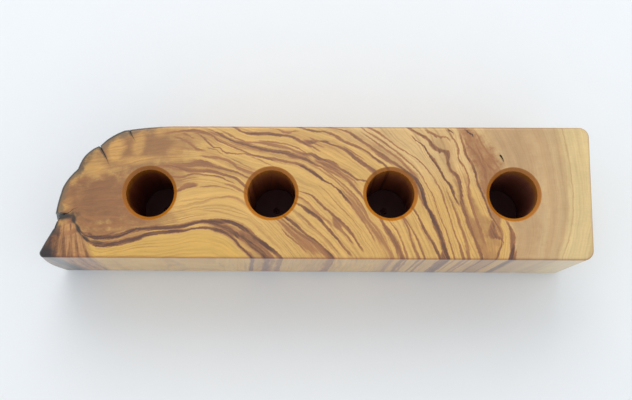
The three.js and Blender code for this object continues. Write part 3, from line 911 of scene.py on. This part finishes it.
def about_pith(x, y):
    """Angle about the pith, in degrees, and distance from it."""
    away_x = x - PITH[0]
    away_y = y - PITH[1]
    return math.degrees(math.atan2(away_y, away_x)), math.hypot(away_x, away_y)


def ring_reach(ring, angle):
    """How far a ring is from the pith at an angle, level beyond its first and last places."""
    places = sorted(about_pith(*place) for place in ring)
    angle = clamp(angle, places[0][0], places[-1][0])
    for (before, near), (after, far) in zip(places[:-1], places[1:]):
        if angle <= after:
            return lerp(near, far, (angle - before) / (after - before))
    return places[-1][1]


def ring_spacing():
    """Mean thickness of wood between each ring and the next, over the part of it that lies in the block."""
    spacing = []
    for inner, outer in zip(RINGS[:-1], RINGS[1:]):
        gaps = []
        for angle in range(8, 153):
            near = ring_reach(inner, angle)
            far = ring_reach(outer, angle)
            middle = (near + far) / 2
            x = PITH[0] + middle * math.cos(math.radians(angle))
            y = PITH[1] + middle * math.sin(math.radians(angle))
            if FRONT < y < BACK and TIP_X < x < RIGHT:
                gaps.append(far - near)
        spacing.append(sum(gaps) / len(gaps))
    return spacing


def ring_field(g, x, y):
    """Angle about the pith, distance from it, and height across the rings, at a place on the top face."""
    from_x = g.minus(x, PITH[0])
    from_y = g.minus(y, PITH[1])
    angle = g.math("DEGREES", g.math("ARCTAN2", from_y, from_x))
    radius = g.length(g.combine(from_x, from_y, 0.0))
    edges = []
    for ring in RINGS:
        edges.append(g.curve(angle, [about_pith(*place) for place in ring], ANGLES, REACH))
    height = FIRST_HEIGHT
    for inner, outer, thickness in zip(edges[:-1], edges[1:], ring_spacing()):
        height = g.plus(height, g.remap(radius, inner, outer, 0.0, thickness))
    return angle, radius, height


def stroke(g, spread, height, ragged, strength, path):
    """One streak along the rings: full on its middle line, 0 past its edges and its ends."""
    first = max(a for a, _, _ in path)
    last = min(a for a, _, _ in path)
    taper = 0.12 * (first - last) + 0.25
    power = [(first + taper, 0.0), (first - taper, strength), (last + taper, strength), (last - taper, 0.0)]
    node = g.add("ShaderNodeRGBCurve")
    g.feed(node.inputs["Color"], spread)
    draw_curve(node.mapping, 0, [(a, h) for a, h, _ in path], ANGLES, HEIGHTS)
    draw_curve(node.mapping, 1, [(a, w) for a, _, w in path], ANGLES, HEIGHTS)
    draw_curve(node.mapping, 2, power, ANGLES, STRENGTHS)
    middle, half, power = g.channels(node.outputs[0])
    gap = g.math("ABSOLUTE", g.minus(height, middle))
    reach = g.plus(g.math("DIVIDE", gap, half), ragged)
    return g.remap(reach, 0.4, 1.5, power, 0.0, kind="SMOOTHSTEP")


def stroke_batch(strokes):
    """The strongest of a few streaks, where angle and height run from 0 to 1 over their ranges."""
    def build(g, angle, height, ragged):
        spread = g.colour(angle, angle, angle)
        total = None
        for strength, path in strokes:
            one = stroke(g, spread, height, ragged, strength, path)
            total = one if total is None else g.math("MAXIMUM", total, one)
        return g.times(total, STRENGTHS[1])
    return node_group("streaks", ["angle", "height", "ragged"], build)


def strongest(g, angle, height, ragged, strokes):
    total = None
    for i in range(0, len(strokes), BATCH):
        one = g.call(stroke_batch(strokes[i:i + BATCH]), angle, height, ragged)
        total = one if total is None else g.math("MAXIMUM", total, one)
    return total


def patch_field(g, flat, wobble, patches):
    """Soft ellipses on the top face that run on down the wood."""
    total = None
    for x, y, half_x, half_y, turn, strength in patches:
        node = g.add("ShaderNodeMapping", vector_type="TEXTURE")
        node.inputs["Location"].default_value = (x, y, 0.0)
        node.inputs["Rotation"].default_value = (0.0, 0.0, math.radians(turn))
        node.inputs["Scale"].default_value = (half_x, half_y, FAR_DOWN)
        g.feed(node.inputs["Vector"], flat)
        reach = g.plus(g.length(node.outputs[0]), wobble)
        one = g.remap(reach, 0.4, 1.4, strength, 0.0, kind="SMOOTHSTEP")
        total = one if total is None else g.math("MAXIMUM", total, one)
    return total


def live_distance(g, x, y):
    """How far inside the live edge a place on the top face is, and its turn about the edge's centre."""
    tip = arc(TIP_X + TIP_RADIUS, FRONT + TIP_RADIUS, TIP_RADIUS, math.pi - TIP_TURN, 1.4 * math.pi, 3)
    places = []
    for px, py in live_edge()[::5] + tip:
        turn = math.degrees(math.atan2(py - LIVE_CENTRE[1], LIVE_CENTRE[0] - px))
        places.append((turn, math.hypot(px - LIVE_CENTRE[0], py - LIVE_CENTRE[1])))
    away_x = g.minus(LIVE_CENTRE[0], x)
    away_y = g.minus(y, LIVE_CENTRE[1])
    turn = g.math("DEGREES", g.math("ARCTAN2", away_y, away_x))
    edge = g.curve(turn, places, LIVE_TURNS, LIVE_REACH)
    distance = g.minus(edge, g.length(g.combine(away_x, away_y, 0.0)))
    return distance, turn


def bore_clearance(g, place):
    """Distance from the nearest bore's axis."""
    nearest = None
    for bore_x in BORE_X:
        away = g.vector("MULTIPLY", g.vector("SUBTRACT", place, (bore_x, BORE_Y, 0.0)), (1.0, 1.0, 0.0))
        span = g.length(away)
        nearest = span if nearest is None else g.math("MINIMUM", nearest, span)
    return nearest


def ground_colour(g, y, height, field):
    """Honey sapwood turning to tan and pale wood outwards, a painted sheen that turns it towards cream at the
    back, and brown fields over it.
    """
    colour = g.mix(g.fade(height, 9.5, 6.5), HONEY, LENS)
    # painted sheen: the outer rings lightened towards cream at the back
    painted_sheen = g.times(g.fade(height, 60.0, 72.0), g.fade(y, -6.0, 14.0))
    colour = g.mix(g.times(painted_sheen, 0.7), colour, CREAM)
    colour = g.mix(g.fade(height, 92.0, 101.0), colour, TAN)
    colour = g.mix(g.fade(height, 117.0, 121.5), colour, PALE)
    return g.mix(field, colour, BROWN)


def fan_stripes(g, colour, x, y, angle, height, deep):
    """Stripes that fan out below the fold at the tip."""
    fan_x = g.minus(x, FAN[0])
    fan_y = g.minus(FAN[1], y)
    spoke = g.times(g.math("ARCTAN2", fan_x, fan_y), 18.0)
    stripe = g.noise(g.combine(spoke, g.times(fan_y, 0.06), deep), 1.1, 3.0, 0.65)
    in_fan = g.times(g.fade(angle, 106.5, 110.5), g.fade(height, 13.5, 11.5))
    striped = g.mix(g.fade(stripe, 0.38, 0.64), FAN_PALE, FAN_DARK)
    return g.mix(in_fan, colour, striped)


def growth_lines(g, colour, grain, height):
    """Fine lines between the streaks, and how calm the wood is: 1 in the plain wood at the right end."""
    wave = g.math("MULTIPLY_ADD", g.noise(grain, 0.5, 1.0), 2.4, g.times(height, 0.85))
    crest = g.math("POWER", g.math("PINGPONG", wave, 0.5), 3.0)
    present = g.fade(g.noise(grain, 0.35, 2.0), 0.3, 0.62)
    calm = g.fade(height, 90.0, 97.0)
    present = g.times(present, g.remap(calm, 0.0, 1.0, 1.0, 0.35))
    rings = g.times(g.times(crest, 8.0), present)
    return g.mix(g.times(rings, 0.6), colour, BROWN), calm


def dark_streaks(g, colour, grain, streak):
    """Brown at a streak's edges, purple brown inside it, nearly black where it is strongest."""
    worn = g.remap(g.noise(grain, 2.6, 2.0), 0.3, 0.62, 0.74, 1.06)
    streak = g.times(streak, worn)
    colour = g.mix(g.fade(streak, 0.0, 0.5), colour, BROWN)
    colour = g.mix(g.fade(streak, 0.42, 1.0), colour, PURPLE)
    return g.mix(g.fade(streak, 1.05, 1.25), colour, STREAK_BLACK_AND_SHADE)


def heartwood(g, x, y, z, flat):
    """The colour of the wood itself, all through the block, and the noise that blotches it."""
    wavy = g.combine(x, y, g.times(z, 0.4))
    wander = g.vector("SUBTRACT", g.noise(wavy, 0.2, 2.0, output="Color"), (0.5, 0.5, 0.5))
    shiver = g.vector("SUBTRACT", g.noise(flat, 1.1, 2.0, output="Color"), (0.5, 0.5, 0.5))
    moved_x, moved_y, _ = g.separate(g.vector("ADD", g.scaled(wander, 0.9), g.scaled(shiver, 0.5)))
    angle, radius, height = ring_field(g, g.plus(x, moved_x), g.plus(y, moved_y))

    # fibres lie along the rings and run down the wood
    along = g.times(g.math("RADIANS", angle), g.times(radius, 0.1))
    deep = g.times(z, 0.05)
    grain = g.combine(along, height, deep)
    lines = g.noise(grain, 1.7, 3.0, 0.62)
    threads = g.noise(grain, 5.5, 2.0, 0.6)
    cloud = g.noise(flat, 0.1, 3.0, 0.55)
    blotch = g.noise(flat, 0.3, 3.0, 0.62)

    # the turn takes a little of the lines, so that the streaks fray along the grain
    turn = g.remap(g.math("MULTIPLY_ADD", lines, 0.8, angle), *ANGLES)
    level = g.remap(height, *HEIGHTS)
    ragged = g.remap(lines, 0.25, 0.75, 0.45, -0.45)
    streak = strongest(g, turn, level, ragged, STREAKS)
    field = strongest(g, turn, level, g.spread(blotch, 0.3, -0.3), FIELDS)
    field = g.math("MULTIPLY", field, g.remap(blotch, 0.3, 0.65, 0.78, 1.08), clamped=True)

    colour = ground_colour(g, y, height, field)
    mottle = g.spread(cloud, 0.3, -0.3)
    mottle = g.plus(mottle, g.spread(blotch, 0.2, -0.2))
    colour = g.mix(patch_field(g, flat, mottle, RUSSETS), colour, RUSSET)
    colour = fan_stripes(g, colour, x, y, angle, height, deep)
    colour = g.mix(patch_field(g, flat, mottle, PATCHES), colour, PATCH)
    colour, calm = growth_lines(g, colour, grain, height)
    colour = dark_streaks(g, colour, grain, streak)

    rays = g.noise(g.combine(g.times(along, 30.0), g.times(height, 0.35), deep), 1.0, 2.0)
    shade = g.remap(lines, 0.25, 0.75, 1.1, 0.84)
    shade = g.times(shade, g.spread(threads, 1.04, 0.95))
    shade = g.remap(calm, 0.0, 1.6, shade, 1.0)
    shade = g.times(shade, g.spread(cloud, 0.95, 1.05))
    shade = g.times(shade, g.spread(rays, 0.965, 1.03))
    bands = g.noise(g.combine(g.times(along, 0.3), g.times(height, 0.45), deep), 1.0, 2.0)
    shade = g.times(shade, g.spread(bands, 0.93, 1.06))
    return g.shade(colour, shade), blotch


def weathered_rim(g, colour, x, y, drop, flat, blotch, distance, turn, live):
    """The grey band inside the live edge, its dark outer line, the tip's corner and the ink-dark marks, those
    at the crevice's mouth being painted shade.
    """
    near_tip = g.fade(turn, 5.0, -10.0)
    width = g.math("MULTIPLY_ADD", near_tip, 2.4, 2.9)
    band = g.minus(1.0, g.math("DIVIDE", distance, width))
    band = g.plus(band, g.spread(blotch, -0.5, 0.5))
    band = g.times(g.fade(band, 0.0, 0.65), g.times(live, 0.85))
    colour = g.mix(band, colour, g.mix(near_tip, WEATHERED, TIP_BAND))
    corner = g.length(g.combine(g.minus(x, TIP_X + 2.0), g.minus(y, FRONT + 1.0), 0.0))
    corner = g.plus(corner, g.spread(blotch, -0.8, 0.8))
    colour = g.mix(g.fade(corner, 5.5, 1.5), colour, TIP_CORNER)
    # ink-dark marks along the cracks, and painted shade round the crevice's mouth
    marked_or_shaded = patch_field(g, flat, g.spread(blotch, 0.25, -0.25), DARK_MARKS_AND_FOLD_SHADE)
    colour = g.mix(g.times(marked_or_shaded, g.fade(drop, 11.0, 3.0)), colour, INK)
    rim = g.times(g.fade(distance, 1.15, 0.35), live)
    return g.mix(g.times(rim, 0.85), colour, RIM)


def bark_side(g, colour, x, y, z, drop, distance, live, uneven):
    """Long upright furrows on the side of the live edge."""
    side = g.combine(g.times(x, 0.8), g.times(y, 0.8), g.times(z, 0.055))
    furrows = g.noise(side, 1.0, 5.0, 0.62)
    bark = g.mix(g.fade(furrows, 0.32, 0.66), BARK_DARK, BARK_PALE)
    bark = g.mix(g.times(g.fade(uneven, 0.45, 0.68), 0.6), bark, WEATHERED)
    on_side = g.times(g.fade(drop, 0.9, 2.2), g.times(g.fade(distance, 1.0, 0.2), live))
    return g.mix(on_side, colour, bark)


def painted_fold_shade(g, colour, x, y, drop):
    """Painted shade on the inside of the crevice, smaller on the way down."""
    fold_x = g.minus(x, TIP_X + 5.0)
    fold_y = g.minus(y, FRONT + 13.2)
    span = g.length(g.combine(fold_x, g.times(fold_y, 1.1), 0.0))
    fold = g.fade(g.math("MULTIPLY_ADD", drop, 0.13, span), 5.2, 3.9)
    # painted shade: the crevice's inner walls darkened almost to black
    return g.mix(g.times(fold, g.fade(drop, 0.02, 0.25)), colour, STREAK_BLACK_AND_SHADE)


def weathered(g, colour, x, y, z, drop, flat, blotch):
    """Everything that weather has done along the live edge, and the painted shade in and round the crevice.
    """
    distance, turn = live_distance(g, x, y)
    uneven = g.noise(g.combine(x, y, g.times(z, 0.5)), 0.22, 3.0, 0.6)
    ragged_turn = g.plus(turn, g.spread(uneven, -9.0, 9.0))
    live = g.times(g.fade(turn, -27.0, -22.0), g.fade(ragged_turn, 102.0, 86.0))
    colour = weathered_rim(g, colour, x, y, drop, flat, blotch, distance, turn, live)
    colour = bark_side(g, colour, x, y, z, drop, distance, live, uneven)
    return painted_fold_shade(g, colour, x, y, drop)


def burnished_and_shaded(g, colour, y, drop, inside):
    """Burnished orange brown on the rounded edges, the chamfers and down the bores, with painted light and
    shade: each mouth lighter at its front and darker at its back, and the bottom of each bore painted dark.
    """
    rounded = g.times(g.fade(drop, 0.05, 0.5), g.fade(drop, 2.0, 1.1))
    colour = g.mix(rounded, colour, g.tint(colour, RUBBED_EDGE))
    oiled_and_shaded = g.mix(0.5, g.tint(colour, BURNISHED), BORED)
    # painted light and shade: the front of each mouth, facing the window, lighter, and its back darker
    painted_side_light = g.remap(y, BORE_Y - BORE_RADIUS, BORE_Y + BORE_RADIUS, 1.12, 0.76)
    oiled_and_shaded = g.shade(oiled_and_shaded, painted_side_light)
    oiled_and_shaded = g.mix(g.fade(drop, 1.0, 10.0), oiled_and_shaded, g.tint(colour, BORE_WALL))
    # painted shade: the last few millimetres of each bore darkened
    oiled_and_shaded = g.mix(g.fade(drop, BORE_DEPTH - 3.0, BORE_DEPTH - 0.5), oiled_and_shaded, BORE_FLOOR_SHADE)
    return g.mix(inside, colour, oiled_and_shaded)


def olive_wood():
    """Oiled olive wood with a thin wax, duller down the bores."""
    material, g, place = new_material("olive_wood")
    x, y, z = g.separate(place)
    drop = g.minus(TOP, z)
    x_lean = g.math("MULTIPLY_ADD", drop, g.remap(x, -10.0, 30.0, 0.085, 0.02), x)
    flat = g.combine(x_lean, y, g.times(z, 0.05))
    colour, blotch = heartwood(g, x_lean, y, z, flat)
    colour = weathered(g, colour, x, y, z, drop, flat, blotch)

    # painted shade: the inside of the small pocket in the right front corner darkened almost to black
    pocket = g.length(g.vector("SUBTRACT", place, NOTCH_PLACE))
    colour = g.mix(g.times(g.fade(pocket, 3.0, 2.0), 0.9), colour, STREAK_BLACK_AND_SHADE)

    mouth = BORE_RADIUS + BORE_CHAMFER
    inside = g.fade(bore_clearance(g, place), mouth + 0.15, mouth - 0.1)
    colour = burnished_and_shaded(g, colour, y, drop, inside)
    shine = g.minus(0.5, g.times(inside, g.remap(drop, 2.0, 14.0, 0.0, 0.42)))

    fine = g.combine(g.times(x, 2.6), g.times(y, 2.6), g.times(z, 0.14))
    pores = g.noise(fine, 1.0, 2.0)
    bump = g.bump(pores, 0.00001, 0.5)
    rough = g.spread(blotch, 0.34, 0.28)
    wax = g.times(g.minus(1.0, inside), 0.4)
    finish_surface(g, Base_Color=colour, Roughness=rough, Normal=bump, IOR=1.48, Specular_IOR_Level=shine,
                   Coat_Weight=wax, Coat_Roughness=0.25)
    return material


def wool_felt():
    """Matted grey-brown wool."""
    material, g, place = new_material("wool_felt")
    tangled = g.vector("ADD", place, g.scaled(g.noise(place, 1.4, 2.0, output="Color"), 1.6))
    fibres = g.noise(tangled, 3.1, 4.0, 0.7)
    mottle = g.noise(place, 0.6, 3.0, 0.6)
    colour = g.mix(g.fade(fibres, 0.35, 0.7), FELT_DARK, FELT_PALE)
    colour = g.mix(g.times(g.fade(mottle, 0.4, 0.7), 0.35), colour, FELT_BROWN)
    bump = g.bump(fibres, 0.0002, 0.9)
    finish_surface(g, Base_Color=colour, Roughness=0.95, Normal=bump, Sheen_Weight=0.4)
    return material


def floor_paint():
    """A plain pale floor, with painted light that makes it a little brighter towards the window."""
    material, g, place = new_material("pale_floor")
    _, y, _ = g.separate(place)
    value = g.remap(y, -90.0, 60.0, 0.81, 0.83)
    value = g.times(value, g.spread(g.noise(place, 0.06, 3.0), 0.995, 1.005))
    colour = g.colour(g.times(value, 0.97), value, g.times(value, 1.025))
    finish_surface(g, Base_Color=colour, Roughness=0.6)
    return material


# ---------------------------------------------------------------- stage

FLOOR_REACH = 3000.0
WORLD_COLOUR = (0.955, 0.982, 1.01, 1.0)
WORLD_STRENGTH = 0.96
WINDOW_PLACE = (-50.0, 720.0, 1050.0)
WINDOW_SIZE = 800.0
WINDOW_POWER = 4.0
WINDOW_COLOUR = (1.0, 0.99, 0.98)

CAMERA_PLACE = (5.09, -60.73, 385.21)
CAMERA_TURNS = (9.776, 0.472, 0.356)
FOCAL_LENGTH = 54.51
SENSOR_WIDTH = 36.0


def floor():
    bm = bmesh.new()
    bmesh.ops.create_grid(bm, x_segments=2, y_segments=2, size=FLOOR_REACH)
    thing = new_object("floor", bm)
    thing.data.materials.append(floor_paint())


def window():
    """A soft round light above and behind, turned to the middle of the block."""
    data = bpy.data.lights.new("window", "AREA")
    data.shape = "DISK"
    data.size = WINDOW_SIZE * MM
    data.energy = WINDOW_POWER
    data.color = WINDOW_COLOUR
    lamp = bpy.data.objects.new("window", data)
    lamp.location = Vector(WINDOW_PLACE) * MM
    lamp.rotation_euler = (-lamp.location).to_track_quat("-Z", "Y").to_euler()
    bpy.context.scene.collection.objects.link(lamp)


def studio():
    world = bpy.data.worlds.new("studio")
    world.use_nodes = True
    back = world.node_tree.nodes["Background"]
    back.inputs["Color"].default_value = WORLD_COLOUR
    back.inputs["Strength"].default_value = WORLD_STRENGTH
    bpy.context.scene.world = world
    bpy.context.scene.view_settings.view_transform = "Standard"


def camera():
    data = bpy.data.cameras.new("camera")
    data.sensor_width = SENSOR_WIDTH
    data.lens = FOCAL_LENGTH
    thing = bpy.data.objects.new("camera", data)
    thing.location = Vector(CAMERA_PLACE) * MM
    thing.rotation_euler = Euler([math.radians(a) for a in CAMERA_TURNS], "XYZ")
    bpy.context.scene.collection.objects.link(thing)
    bpy.context.scene.camera = thing


# ---------------------------------------------------------------- put together

block = wood_block()
block.data.materials.clear()
block.data.materials.append(olive_wood())

wool = wool_felt()
for foot in FEET:
    felt_foot(foot).data.materials.append(wool)

floor()
studio()
window()
camera()
